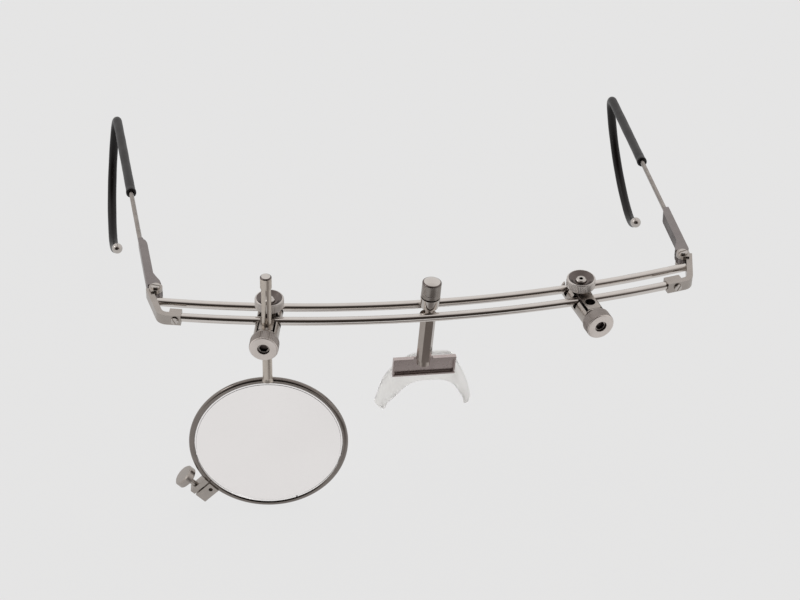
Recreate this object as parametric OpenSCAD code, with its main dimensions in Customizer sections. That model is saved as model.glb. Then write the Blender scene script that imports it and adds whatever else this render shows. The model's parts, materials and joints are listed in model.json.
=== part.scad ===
// Adjustable shooting glasses: a twin rod rail, two sliding carriages, one lens holder,
// a nose piece and two sprung cable temples. The wearer faces -Y, so right is -X.

/* [Rail] */
// Diameter of each rail rod
rod_d = 2.4; // [2:0.1:2.6]
// Distance between the two rod centrelines
rod_gap = 6.15; // [6:0.05:6.4]
// Radius of the front rod's curve
rail_radius = 326; // [280:1:400]
// Half width where the end pieces start
rail_half = 68.3; // [64:0.1:72]

/* [End pieces and hinges] */
// Height of the end piece strip
strip_h = 3.2; // [3:0.1:3.6]
// Thickness of the end piece strip
strip_t = 1.7; // [1.5:0.1:1.9]
// Length of the side leg behind its corner
side_leg = 10.2; // [9.6:0.1:11.5]
// Extra length of the left end piece along the rail
left_reach = 1.3; // [0:0.1:1.5]
// Turn of the strip round its corner
corner_turn = 65.6; // [64:0.1:70]
// Radius of the hinge knuckles
knuckle_r = 1.9; // [1.8:0.05:2.1]
// Diameter of the hinge screw's shank
hinge_pin_d = 1.4; // [1.2:0.1:1.6]
// Height of the hinge from top to bottom knuckle face
hinge_h = 4.2; // [4:0.1:4.8]

/* [Temples] */
// Downward slope of the right temple
right_slope = 8.9; // [6:0.1:12]
// Downward slope of the left temple
left_slope = 10.2; // [6:0.1:12]
// Outward flare of the right temple
right_flare = 3; // [0:0.1:4]
// Outward flare of the left temple
left_flare = 2.3; // [0:0.1:4]
// Height of the flat temple bar
bar_h = 3.3; // [3:0.1:3.8]
// Width of the flat temple bar
bar_w = 2.4; // [2.2:0.1:2.8]
// Length from the hinge to the end of the flat bar
bar_len = 31; // [26:0.5:36]
// Diameter of the wound cable
cable_d = 1.4; // [1.2:0.1:1.6]
// Distance from the hinge to the mouth of the right sleeve
right_sleeve_start = 64.2; // [60:0.2:72]
// Distance from the hinge to the mouth of the left sleeve
left_sleeve_start = 67.8; // [60:0.2:72]
// Distance from the hinge to the start of the ear hook
hook_start = 117.5; // [110:0.1:124]
// Outer diameter of the ear sleeve
sleeve_d = 2.9; // [2.7:0.1:3.4]
// Radius of the bend over the ear
ear_r = 6.5; // [5.5:0.1:9]
// Angle of the bend over the ear
ear_turn = 76.7; // [70:0.1:85]
// Radius of the long bend behind the ear
back_r = 26.6; // [22:0.2:32]
// Angle of the long bend behind the ear
back_turn = 82.8; // [75:0.1:95]
// Radius of the curl at the tip
curl_r = 13; // [9:0.2:16]
// Angle of the curl at the tip
curl_turn = 48.3; // [30:0.1:60]
// Straight length of sleeve before the ball
hook_tail = 4.4; // [1:0.1:6]
// Outward lean of the ear hook
hook_lean = 7.7; // [0:0.1:10]
// Diameter of the tip ball
ball_d = 3.4; // [3.2:0.1:3.8]

/* [Carriages] */
// Place of the right carriage along the rail, as an angle from the middle
carriage_angle = 7.85; // [6:0.05:8.6]
// Place of the left carriage along the rail, as an angle from the middle
left_carriage_angle = 7.7; // [6:0.05:8.6]
// Turn of the right carriage about its rail stud
right_turn = -4; // [-5:0.1:5]
// Turn of the left carriage about its rail stud
left_turn = 5.6; // [-5:0.1:6]
// Diameter of the round carriage body
body_d = 7; // [6.8:0.1:7.4]
// Depth of the body's axis below the rods
body_drop = 1.2; // [1.1:0.05:1.4]
// Length of the body in front of the rail stud
body_front = 10.4; // [9.8:0.1:11]
// Length of the body behind the rail stud
body_back = 5.4; // [5.3:0.1:6.5]
// Width of the clamp jaw
jaw_w = 3.9; // [3.6:0.05:4.1]
// Height of the jaw's flat top above the rod centres
jaw_top = 2; // [1.8:0.05:2.3]
// Gap between the jaw and the wall on each side
jaw_gap = 0.5; // [0.4:0.05:0.55]
// Distance from the front rod to the stem bore
stem_forward = 3.5; // [3.4:0.05:3.6]
// Diameter of the clamp knobs
knob_d = 8.1; // [7.8:0.1:8.8]
// Height of the front knobs
knob_h = 3.6; // [3.2:0.1:4.2]
// Height of the top knobs
rail_knob_h = 2.9; // [2.6:0.1:3.4]
// Diameter of the rail stud
stud_d = 2; // [1.8:0.1:2.2]
// Diameter of the stem clamp screw
stem_screw_d = 1.7; // [1.5:0.1:1.8]

/* [Lens holder] */
// Diameter of the lens holder's stem
stem_d = 2.7; // [2.5:0.05:2.8]
// Height of the stem's top above the rods
stem_top = 18; // [17:0.5:22]
// Height of the stem's cap
cap_h = 3.8; // [3.4:0.1:4.2]
// Depth of the lens centre below the rods, with the ring upright
lens_drop = 39.9; // [37:0.1:45]
// Diameter of the lens
lens_d = 42; // [38:0.5:44]
// Thickness of the lens at its rim
lens_edge = 1.2; // [1:0.1:1.3]
// Diameter of the ring wire
wire_d = 1.85; // [1.8:0.05:2.1]
// Turn of the ring about its stem
ring_turn = -5.4; // [-12:0.1:12]
// Forward lean of the ring at its foot
ring_lean = 4; // [0:0.5:6]
// Length of the ring's clamp blocks away from the ring
block_len = 4.8; // [4.4:0.1:5.4]
// Depth of the ring's clamp blocks
block_d = 3; // [2.8:0.1:3.4]
// Diameter of the ring's thumb screw head
thumb_d = 6.5; // [6:0.1:7]

/* [Nose piece] */
// Width of the hexagonal post across its flats
post_af = 3.8; // [3.5:0.1:4]
// Depth of the post's foot below the rods
post_drop = 18.7; // [18:0.1:25]
// Sideways lean of the post
nose_lean = 3.4; // [0:0.1:4]
// Turn of the nose piece about its post
nose_turn = 3.5; // [-8:0.5:8]
// Diameter of the cap nut
nut_d = 5.4; // [5:0.1:5.8]
// Height of the cap nut's shoulder above the rods
nut_top = 9.7; // [8.5:0.1:10.5]
// Width of the pad plate
plate_w = 18.2; // [16:0.2:20]
// Height of the pad plate
plate_h = 6; // [5:0.1:6.4]
// Depth of the plate's middle below the rods
plate_drop = 21.1; // [18:0.1:26]
// Width of the pad from leg tip to leg tip
pad_w = 29.2; // [26:0.2:32]
// Height of the pad
pad_h = 22.6; // [20:0.2:25]
// How far the pad's legs sweep back towards the face
pad_sweep = 5; // [2:0.2:7]

/* [Hidden] */
$fn = 64;
eps = 0.01;
fit = 0.02;
run = 0.05;
rod_r = rod_d / 2;
mid_gap = rod_gap / 2;
mid_radius = rail_radius - mid_gap;
rear_radius = rail_radius - rod_gap;
end_angle = asin(rail_half / rail_radius);
stud_r = stud_d / 2;
stem_r = stem_d / 2;
body_r = body_d / 2;
stem_y = -mid_gap - stem_forward;
rod_clear = 0.05;
turn_room = 7;

steel = [0.72, 0.71, 0.69];
polished = [0.82, 0.81, 0.79];
bright_steel = [0.86, 0.85, 0.83];
black_sleeve = [0.13, 0.12, 0.12];
clear_glass = [0.85, 0.88, 0.86, 0.35];
clear_pad = [0.88, 0.88, 0.85, 0.6];

// Place on the rail: the middle between the rods at an angle along the curve,
// with -Y pointing out of the curve. The row's origin is the middle at angle 0.
module on_rail(angle) {
    translate([mid_radius * sin(angle), mid_radius - mid_radius * cos(angle), 0])
        rotate([0, 0, angle])
            children();
}

module either_side(side) {
    if (side < 0) {
        mirror([1, 0, 0])
            children();
    } else {
        children();
    }
}

// Rail

module rod(radius, right_angle, left_angle) {
    translate([0, mid_radius, 0])
        rotate([0, 0, -90 - right_angle])
            rotate_extrude(angle = right_angle + left_angle, $fn = 240)
                translate([radius, 0])
                    circle(r = rod_r, $fn = 48);
}

// End pieces: a socket for the front rod, a bent strip, and two hinge knuckles

socket_depth = 3.3;
socket_len = 3.4;
bend_outer = 3.6;
bend_x = socket_len + 0.6;
front_face = -socket_depth / 2;
bend_y = front_face + bend_outer;
function reach_of(side) = side > 0 ? left_reach : 0;
function slope_of(side) = side > 0 ? left_slope : right_slope;
function flare_of(side) = side > 0 ? left_flare : right_flare;
function mouth_of(side) = side > 0 ? left_sleeve_start : right_sleeve_start;
leg_angle = end_angle + corner_turn;
rod_in_socket = 2.8;
front_half_angle = end_angle + rod_in_socket / rail_radius * 180 / PI;
leg_x = rail_radius * sin(end_angle) + bend_x * cos(end_angle) - bend_y * sin(end_angle)
    + (bend_outer - strip_t / 2) * sin(leg_angle);
leg_y = mid_radius - rail_radius * cos(end_angle) + bend_x * sin(end_angle) + bend_y * cos(end_angle)
    - (bend_outer - strip_t / 2) * cos(leg_angle);
// The hinge axis lies on the inner side of the leg, near its end.
hinge_back = side_leg - 0.7;
hinge_in = strip_t / 2 + 0.95;
hinge_x = leg_x + hinge_back * cos(leg_angle) - hinge_in * sin(leg_angle);
hinge_y = leg_y + hinge_back * sin(leg_angle) + hinge_in * cos(leg_angle);
knuckle_gap = 0.1;
tongue_h = 1.6;
tongue_room = knuckle_r + 0.2;
pin_r = hinge_pin_d / 2;
head_h = 0.6;
// The rear rod ends just inside the side leg.
leg_slope = tan(90 - leg_angle);
rear_end_y = mid_radius - sqrt(pow(rear_radius, 2) - pow(leg_x, 2));
rear_end_x = leg_x + (rear_end_y - leg_y) * leg_slope - strip_t / 2 / sin(leg_angle) - 0.05;
rear_half_angle = asin(rear_end_x / rear_radius) - 0.04;
rear_left_angle = rear_half_angle + left_reach / rear_radius * 180 / PI;
front_left_angle = front_half_angle + left_reach / rail_radius * 180 / PI;

module socket_frame() {
    translate([rail_radius * sin(end_angle), mid_radius - rail_radius * cos(end_angle), 0])
        rotate([0, 0, end_angle])
            children();
}

module reach_frame(side) {
    translate([reach_of(side) * cos(end_angle), reach_of(side) * sin(end_angle), 0])
        children();
}

module leg_frame(side) {
    reach_frame(side)
        translate([leg_x, leg_y, 0])
            rotate([0, 0, leg_angle])
                children();
}

module hinge_frame(side) {
    reach_frame(side)
        translate([hinge_x, hinge_y, 0])
            children();
}

// Plan of the bent strip: straight beside the socket, round the corner, along the leg.
bend_steps = 20;

function bend_point(x, radius, a) = [x + radius * sin(a), bend_y - radius * cos(a)];

module strip_outline(x) {
    inner_r = bend_outer - strip_t;
    leg = side_leg * [cos(corner_turn), sin(corner_turn)];
    polygon(concat(
        [[0.2, front_face]],
        [for (i = [0 : bend_steps]) bend_point(x, bend_outer, corner_turn * i / bend_steps)],
        [bend_point(x, bend_outer, corner_turn) + leg, bend_point(x, inner_r, corner_turn) + leg],
        [for (i = [bend_steps : -1 : 0]) bend_point(x, inner_r, corner_turn * i / bend_steps)],
        [[0.2, front_face + strip_t]]
    ));
}

module end_piece(side) {
    socket_x = socket_len + reach_of(side);
    screw_x = socket_len / 2 + reach_of(side);
    strip_len = bend_x - socket_len;
    difference() {
        union() {
            socket_frame() {
                translate([0, front_face, -strip_h / 2])
                    cube([socket_x, socket_depth, strip_h]);
                translate([0, 0, -strip_h / 2])
                    linear_extrude(strip_h)
                        strip_outline(socket_x + strip_len);
            }
            hinge_frame(side)
                translate([0, 0, -hinge_h / 2])
                    cylinder(r = knuckle_r, h = hinge_h);
            // Web that joins the knuckles to the leg
            leg_frame(side)
                translate([hinge_back - knuckle_r + 0.2, 0, -hinge_h / 2])
                    cube([knuckle_r + 0.3, hinge_in, hinge_h]);
        }
        // Room for the temple's tongue
        hinge_frame(side) {
            translate([0, 0, -tongue_h / 2 - knuckle_gap])
                cylinder(r = tongue_room, h = tongue_h + 2 * knuckle_gap);
            translate([0, 0, -hinge_h])
                cylinder(r = pin_r + fit, h = 2 * hinge_h);
        }
        socket_frame() {
            translate([-1, 0, 0])
                rotate([0, 90, 0])
                    cylinder(r = rod_r + run, h = rod_in_socket + reach_of(side) + 1.2);
            translate([screw_x, 0, 0])
                rotate([90, 0, 0])
                    cylinder(r = 0.52, h = 3);
        }
    }
}

module slotted_screw(shank_r, shank_len, head_r, head_h, slot_w) {
    difference() {
        union() {
            translate([0, 0, -shank_len])
                cylinder(r = shank_r, h = shank_len + eps);
            cylinder(r = head_r, h = head_h * 0.6);
            translate([0, 0, head_h * 0.6 - eps])
                cylinder(r1 = head_r, r2 = head_r * 0.86, h = head_h * 0.4 + eps);
        }
        translate([-head_r - 1, -slot_w / 2, head_h * 0.45])
            cube([2 * head_r + 2, slot_w, head_h]);
    }
}

module rod_screw(side) {
    socket_frame()
        translate([socket_len / 2 + reach_of(side), front_face - 0.02, 0])
            rotate([90, 0, 0])
                rotate([0, 0, 62])
                    slotted_screw(0.5, -front_face - rod_r - 0.07, 1.1, 0.65, 0.3);
}

module hinge_screw(side) {
    hinge_frame(side)
        translate([0, 0, hinge_h / 2 + fit])
            rotate([0, 0, 20])
                slotted_screw(pin_r, hinge_h + 0.2, 1.3, head_h, 0.35);
}

// Temples: a flat bar with a tongue, a wound cable, a sleeve with an ear hook and a ball

bar_rise = 0.3;
bar_outer = knuckle_r + 0.4;
bar_start = 1.75;
cable_x = bar_outer - cable_d / 2;
cable_r = cable_d / 2;
step_len = 3.6;
core_r = 0.5;
sleeve_r = sleeve_d / 2;
ball_r = ball_d / 2;
ball_seat = 1.1;
hair = 0.015;
seam = 0.25;

module temple_frame(side) {
    hinge_frame(side)
        translate([0, 0, bar_rise])
            rotate([0, 0, -flare_of(side)])
                rotate([-slope_of(side), 0, 0])
                    children();
}

// Turns the hook sideways about the line of the straight sleeve.
module hook_frame(side) {
    temple_frame(side)
        translate([cable_x, hook_start, 0])
            rotate([0, -hook_lean, 0])
                children();
}

module bend(radius, turn, tube_r, lap) {
    lap_angle = lap / radius * 180 / PI;
    translate([0, 0, -radius])
        rotate([0, 90, 0])
            rotate([0, 0, 180 - turn - lap_angle])
                rotate_extrude(angle = turn + 2 * lap_angle, $fn = 144)
                    translate([radius, 0])
                        circle(r = tube_r, $fn = 48);
}

// The place at the end of a bend, facing along the run.
module after_bend(radius, turn) {
    translate([0, radius * sin(turn), -radius + radius * cos(turn)])
        rotate([-turn, 0, 0])
            children();
}

// A round run with a straight length, three bends and a tail. Every second length is a hair
// thinner than its neighbours and ends inside them.
module hook_run(side, radius, start, tail) {
    temple_frame(side)
        translate([cable_x, start, 0])
            rotate([-90, 0, 0])
                cylinder(r = radius - hair, h = hook_start - start + seam);
    hook_frame(side) {
        bend(ear_r, ear_turn, radius, 0);
        after_bend(ear_r, ear_turn) {
            bend(back_r, back_turn, radius - hair, seam);
            after_bend(back_r, back_turn) {
                bend(curl_r, curl_turn, radius, 0);
                after_bend(curl_r, curl_turn)
                    translate([0, -seam, 0])
                        rotate([-90, 0, 0])
                            cylinder(r = radius - hair, h = tail + seam);
            }
        }
    }
}

module tip_frame(side) {
    hook_frame(side)
        after_bend(ear_r, ear_turn)
            after_bend(back_r, back_turn)
                after_bend(curl_r, curl_turn)
                    rotate([-90, 0, 0])
                        children();
}

module temple_bar(side) {
    inner = bar_outer - bar_w;
    tip_w = cable_d * 0.95;
    difference() {
        union() {
            difference() {
                temple_frame(side)
                    translate([0, 0, -bar_h / 2])
                        linear_extrude(bar_h)
                            polygon(concat(
                                [[-knuckle_r + 0.2, 1.9], [bar_outer - 0.3, bar_start],
                                 [bar_outer, bar_start + 0.8], [bar_outer, bar_len],
                                 [bar_outer - tip_w, bar_len]],
                                [for (i = [1 : 7])
                                    let (t = i / 7)
                                    [bar_outer - tip_w - (bar_w - tip_w) * sin(90 * t),
                                     bar_len - 1.2 - step_len * (1 - cos(90 * t))]],
                                [[inner, 8.6], [inner - 0.5, 6.6], [-knuckle_r + 0.4, 3.6]]
                            ));
                hinge_frame(side)
                    translate([0, 0, -hinge_h])
                        cylinder(r = tongue_room, h = 2 * hinge_h);
            }
            hinge_frame(side) {
                translate([0, 0, -tongue_h / 2])
                    cylinder(r = knuckle_r, h = tongue_h);
                translate([0, 0, -tongue_h / 2])
                    rotate([0, 0, -flare_of(side)])
                        translate([-knuckle_r + 0.25, 0, 0])
                            cube([2 * knuckle_r - 0.5, knuckle_r + 1.2, tongue_h]);
            }
        }
        hinge_frame(side)
            translate([0, 0, -hinge_h])
                cylinder(r = pin_r + run, h = 2 * hinge_h);
        // Blind socket for the cable's end
        temple_frame(side)
            translate([cable_x, bar_len - 2.5, 0])
                rotate([-90, 0, 0])
                    cylinder(r = core_r + fit, h = 4);
    }
}

module cable(side) {
    mouth = mouth_of(side);
    temple_frame(side)
        translate([cable_x, 0, 0])
            rotate([-90, 0, 0]) {
                translate([0, 0, bar_len + fit])
                    cylinder(r = cable_r, h = mouth + 2.9 - bar_len);
                translate([0, 0, bar_len - 2.4])
                    cylinder(r = core_r, h = 3);
            }
    hook_run(side, core_r, mouth + 2.5, hook_tail + 1);
}

module sleeve(side) {
    mouth = mouth_of(side);
    difference() {
        union() {
            hook_run(side, sleeve_r, mouth + 0.5, hook_tail);
            temple_frame(side)
                translate([cable_x, mouth, 0])
                    rotate([-90, 0, 0])
                        cylinder(r = sleeve_r + 0.12, h = 1.6);
        }
        hook_run(side, core_r + run + hair, mouth - 1, hook_tail + 1);
        temple_frame(side)
            translate([cable_x, mouth - 1, 0])
                rotate([-90, 0, 0])
                    cylinder(r = cable_r + run, h = 4.1);
    }
}

module tip_ball(side) {
    tip_frame(side)
        translate([0, 0, hook_tail + 0.03])
            difference() {
                union() {
                    translate([0, 0, ball_seat])
                        sphere(r = ball_r, $fn = 48);
                    cylinder(r = sleeve_r - 0.1, h = ball_seat);
                }
                translate([0, 0, -ball_r])
                    cylinder(r = ball_r * 2, h = ball_r);
                translate([0, 0, -1])
                    cylinder(r = core_r + fit, h = 2.1);
            }
}

// Carriages

rod_groove = rod_d + jaw_w * tan(turn_room) + 0.1;
channel_w = jaw_w + 2 * jaw_gap;
floor_z = -rod_r - rod_clear;
ceiling_z = rod_r + rod_clear;
front_wall = 0.7;
jaw_bottom = floor_z + 0.35;
bore_r = stem_r + run;
knob_gap = 0.85;
front_knob_gap = 0.2;
knob_r = knob_d / 2;
knob_z = jaw_top + knob_gap;
screw_r = stem_screw_d / 2;
stud_head_r = 1.5;

module right_carriage() {
    on_rail(-carriage_angle)
        rotate([0, 0, right_turn])
            children();
}

module left_carriage() {
    on_rail(left_carriage_angle)
        rotate([0, 0, left_turn])
            children();
}

module rod_notches(width, length, low, high) {
    for (side = [-1, 1])
        translate([-length / 2, side * mid_gap - width / 2, low])
            cube([length, width, high - low]);
}

module carriage_body() {
    notch_w = rod_d + body_d * tan(turn_room) + 0.1;
    difference() {
        translate([0, body_back, -body_drop])
            rotate([90, 0, 0])
                union() {
                    cylinder(r = body_r, h = body_front + body_back - 0.4);
                    translate([0, 0, body_front + body_back - 0.4 - eps])
                        cylinder(r1 = body_r, r2 = body_r - 0.3, h = 0.4 + eps);
                }
        // Channel for the jaw, open at the back
        translate([-channel_w / 2, -body_front + front_wall, floor_z])
            cube([channel_w, body_front + body_back, body_d]);
        // Flat beside the front knob
        translate([-body_d, -body_front - 1, jaw_top])
            cube([2 * body_d, body_front + body_back + 2, body_d]);
        rod_notches(notch_w, 2 * body_d, floor_z, body_d);
        translate([0, stem_y, -2 * body_d])
            cylinder(r = bore_r, h = 4 * body_d);
        translate([0, 0, -body_drop - body_r - 1])
            cylinder(r = stud_r + run, h = body_d);
        translate([0, stem_y, -body_drop])
            rotate([90, 0, 0])
                cylinder(r = screw_r + run, h = body_d);
    }
}

module jaw() {
    difference() {
        translate([-jaw_w / 2, -body_front + front_wall + 0.1, jaw_bottom])
            cube([jaw_w, body_front - front_wall - 0.1 + body_back - 0.2, jaw_top - jaw_bottom]);
        rod_notches(rod_groove, 2 * body_d, -body_d, ceiling_z);
        translate([0, stem_y, -body_d])
            cylinder(r = bore_r, h = 2 * body_d);
        translate([0, 0, -body_d])
            cylinder(r = stud_r + run, h = 2 * body_d);
        translate([0, stem_y, -body_drop])
            rotate([90, 0, 0])
                cylinder(r = screw_r + run + 0.05, h = body_d);
    }
}

// The knurl is a polygon of fine teeth; each end of the knob is chamfered.
teeth = 56;
tooth = 0.1;
knob_rim = 0.35;
knob_base = 0.3;

module knurl_outline(radius) {
    polygon([for (i = [0 : 2 * teeth - 1])
        let (r = radius - (i % 2) * tooth, a = i * 180 / teeth)
        [r * cos(a), r * sin(a)]]);
}

module knob_blank(height) {
    intersection() {
        linear_extrude(height)
            knurl_outline(knob_r);
        union() {
            cylinder(r1 = knob_r - knob_base, r2 = knob_r, h = knob_base);
            translate([0, 0, knob_base - eps])
                cylinder(r = knob_r, h = height - knob_base - knob_rim + 2 * eps);
            translate([0, 0, height - knob_rim])
                cylinder(r1 = knob_r, r2 = knob_r - knob_rim, h = knob_rim);
        }
    }
}

dish_r = knob_r - knob_rim - 0.1;
dish_floor_r = 2.2;
dish_depth = 0.95;
stud_well = 0.5;

module rail_knob() {
    translate([0, 0, knob_z])
        difference() {
            knob_blank(rail_knob_h);
            translate([0, 0, rail_knob_h - dish_depth])
                cylinder(r1 = dish_floor_r, r2 = dish_r, h = dish_depth + eps);
            translate([0, 0, -1])
                cylinder(r = stud_r + run, h = rail_knob_h + 2);
            translate([0, 0, rail_knob_h - dish_depth - stud_well])
                cylinder(r = stud_head_r + run, h = 2);
        }
}

module rail_stud() {
    head_z = knob_z + rail_knob_h - dish_depth - stud_well + run;
    difference() {
        union() {
            translate([0, 0, -body_drop - body_r + 0.3])
                cylinder(r = stud_r, h = head_z + body_drop + body_r - 0.2);
            translate([0, 0, head_z])
                cylinder(r = stud_head_r, h = 0.9);
            translate([0, 0, head_z + 0.9 - eps])
                cylinder(r1 = stud_head_r, r2 = stud_head_r - 0.3, h = 0.25);
        }
        translate([0, 0, head_z + 0.45])
            cylinder(r = 0.62, h = 2, $fn = 6);
    }
}

module knob_front_frame() {
    translate([0, -body_front - front_knob_gap, -body_drop])
        rotate([90, 0, 0])
            children();
}

screw_head_r = 1.65;
socket_r = 1.3;
socket_deep = 1.3;
socket_recess = 0.45;

module stem_knob() {
    knob_front_frame()
        difference() {
            knob_blank(knob_h);
            translate([0, 0, -1])
                cylinder(r = screw_r + fit, h = knob_h + 2);
            translate([0, 0, knob_h - socket_recess - socket_deep])
                cylinder(r = screw_head_r + fit, h = socket_deep + 1);
        }
}

// A socket screw held in the knob; its tip presses the stem.
module stem_screw() {
    head_base = knob_h - socket_recess - socket_deep + fit;
    tip = body_front + front_knob_gap + stem_y - stem_r - 0.08;
    knob_front_frame()
        difference() {
            union() {
                translate([0, 0, -tip])
                    cylinder(r = screw_r, h = tip + head_base + eps);
                translate([0, 0, head_base])
                    cylinder(r = screw_head_r, h = socket_deep - 0.1);
            }
            translate([0, 0, head_base + 0.35])
                cylinder(r = socket_r, h = 3, $fn = 6);
        }
}

// Lens holder

cap_r = stem_r + 0.25;
lens_r = lens_d / 2;
wire_r = wire_d / 2;
ring_r = lens_r + wire_r - 0.25;
groove_depth = 0.12;
stem_foot = lens_drop - ring_r - wire_r * 0.2;
clamp_angle = 225;
split_at = 2.7;
split_w = 0.5;
block_top = 4.5;
block_bottom = -1.2;
block_in = ring_r - 0.1;
screw_out = 3.9;
thumb_t = 2.2;
thumb_at = 7.3;

module stem_axis() {
    right_carriage()
        translate([0, stem_y, 0])
            rotate([0, 0, ring_turn + carriage_angle - right_turn])
                children();
}

module stem_cap() {
    stem_axis()
        difference() {
            union() {
                translate([0, 0, stem_top - cap_h])
                    cylinder(r = cap_r, h = cap_h - 0.3);
                translate([0, 0, stem_top - 0.3 - eps])
                    cylinder(r1 = cap_r, r2 = cap_r - 0.3, h = 0.3 + eps);
            }
            translate([0, 0, stem_top - cap_h - 1])
                cylinder(r = stem_r - 0.35 + run, h = cap_h);
        }
}

module lens_stem() {
    slit_foot = jaw_top + 0.6;
    stem_axis()
        difference() {
            union() {
                translate([0, 0, -stem_foot])
                    cylinder(r = stem_r, h = stem_foot + stem_top - cap_h - 0.1);
                translate([0, 0, 0])
                    cylinder(r = stem_r - 0.35, h = stem_top - 1.15);
                // Flared foot brazed to the ring
                translate([0, 0, -stem_foot])
                    cylinder(r1 = stem_r + 0.45, r2 = stem_r, h = 1.2);
            }
            // Slit that makes the upper stem a spring
            translate([0, stem_r + 1, slit_foot])
                rotate([90, 0, 0])
                    linear_extrude(2 * stem_r + 2)
                        polygon([[-0.32, 0.5], [0.32, 0.5], [0.1, 7], [0.1, stem_top],
                                 [-0.1, stem_top], [-0.1, 7]]);
            translate([0, 0, slit_foot + 0.5])
                rotate([90, 0, 0])
                    cylinder(r = 0.5, h = 4 * stem_r, center = true);
            lens_ring_space();
        }
}

// The ring's plane leans about the top of the ring, where the stem meets it.
module ring_plane() {
    translate([0, 0, ring_r - lens_drop])
        rotate([-ring_lean, 0, 0])
            translate([0, 0, -ring_r])
                rotate([90, 0, 0])
                    children();
}

module lens_ring_space() {
    ring_plane()
        rotate_extrude($fn = 180)
            translate([ring_r, 0])
                circle(r = wire_r + 0.01, $fn = 40);
}

module lens_ring() {
    stem_axis()
        ring_plane()
            difference() {
                rotate_extrude($fn = 180)
                    difference() {
                        translate([ring_r, 0])
                            circle(r = wire_r, $fn = 40);
                        translate([0, -lens_edge / 2 - fit])
                            square([lens_r + groove_depth, lens_edge + 2 * fit]);
                    }
                rotate([0, 0, clamp_angle])
                    mirror([0, 1, 0])
                        translate([ring_r - 3, split_at - split_w / 2, -3])
                        cube([6, split_w, 6]);
            }
}

module clamp_block(low, high) {
    difference() {
        translate([block_in, low, -block_d / 2])
            cube([block_len + wire_r + 0.2, high - low, block_d]);
        rotate_extrude($fn = 180)
            translate([ring_r, 0])
                circle(r = wire_r + 0.01, $fn = 40);
        translate([ring_r + screw_out, low - 1, 0])
            rotate([-90, 0, 0])
                cylinder(r = 0.8 + run, h = high - low + 2);
        cylinder(r = block_in + wire_r * 0.35, h = 2 * block_d, center = true);
    }
}

module clamp_frame() {
    stem_axis()
        ring_plane()
            rotate([0, 0, clamp_angle])
                mirror([0, 1, 0])
                    children();
}

module ring_block_upper() {
    clamp_frame()
        clamp_block(split_at + split_w / 2, block_top);
}

// Centre of the accessory hole in the lower block's front face
accessory_out = 2.9;
accessory_at = 0.7;
accessory_r = 0.6;

module ring_block_lower() {
    clamp_frame()
        difference() {
            clamp_block(block_bottom, split_at - split_w / 2);
            translate([ring_r + accessory_out - 1.4, accessory_at, block_d / 2 - 1.6])
                cylinder(r = accessory_r, h = 3);
        }
}

module thumb_screw() {
    clamp_frame()
        translate([ring_r + screw_out, 0, 0])
            rotate([-90, 0, 0]) {
                translate([0, 0, block_bottom + 0.4])
                    cylinder(r = 0.8, h = thumb_at - block_bottom - 0.4 + eps);
                translate([0, 0, thumb_at])
                    cylinder(r1 = thumb_d / 2 - 0.25, r2 = thumb_d / 2, h = 0.25);
                translate([0, 0, thumb_at + 0.25 - eps])
                    linear_extrude(thumb_t - 0.6)
                        circle(r = thumb_d / 2, $fn = 96);
                translate([0, 0, thumb_at + thumb_t - 0.35 - 2 * eps])
                    cylinder(r1 = thumb_d / 2, r2 = thumb_d / 2 - 0.45, h = 0.35);
            }
}

// A lens with a shallow dome in front, a flat back and a plain rim.
module lens() {
    dome_r = 220;
    dome_h = dome_r - sqrt(pow(dome_r, 2) - pow(lens_r, 2));
    seat = lens_r + groove_depth - 0.06;
    dome_steps = 12;
    stem_axis()
        ring_plane()
            rotate_extrude($fn = 180)
                polygon(concat(
                    [[0, -lens_edge / 2], [seat, -lens_edge / 2], [seat, lens_edge / 2],
                     [lens_r - 0.5, lens_edge / 2]],
                    [for (i = [dome_steps : -1 : 0])
                        let (r = (lens_r - 0.5) * i / dome_steps)
                        [r, lens_edge / 2 + 0.1 + dome_h - dome_r
                            + sqrt(pow(dome_r, 2) - pow(r, 2))]]
                ));
}

// Nose piece

lean_room = 3 * sin(nose_lean) + 0.06;
cup_foot_r = 2.45;
cup_top_r = 2.8;
cup_z = rod_r + lean_room;
cup_h = 3.3;
post_stud_r = 1.1;
cone_top = cup_z + cup_h + 0.3;
flange_r = 2.5;
flange_top = -rod_r - lean_room;
nut_r = nut_d / 2;

module nose_frame() {
    rotate([0, 0, nose_turn])
        rotate([0, nose_lean, 0])
            children();
}

module nose_cup() {
    nose_frame()
        difference() {
            translate([0, 0, cup_z])
                cylinder(r1 = cup_foot_r, r2 = cup_top_r, h = cup_h);
            translate([0, 0, cup_z + 0.5])
                cylinder(r1 = 1.45, r2 = 2.5, h = cup_h - 0.5 + eps);
            cylinder(r = post_stud_r + run, h = cup_z + cup_h + 1);
        }
}

module nose_nut() {
    nose_frame()
        difference() {
            union() {
                translate([0, 0, cup_z + 0.7])
                    cylinder(r1 = 1.3, r2 = 2.3, h = cup_h - 0.7);
                translate([0, 0, cup_z + cup_h - eps])
                    cylinder(r1 = 2.3, r2 = nut_r, h = 0.45 + 2 * eps);
                translate([0, 0, cup_z + cup_h + 0.45])
                    cylinder(r = nut_r, h = nut_top - cup_z - cup_h - 0.45);
                // Domed top
                intersection() {
                    translate([0, 0, nut_top - eps])
                        cylinder(r = nut_r, h = 2);
                    translate([0, 0, nut_top - 3.1])
                        sphere(r = 4.1, $fn = 96);
                }
            }
            translate([0, 0, -1])
                cylinder(r = post_stud_r + run, h = nut_top);
        }
}

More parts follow.
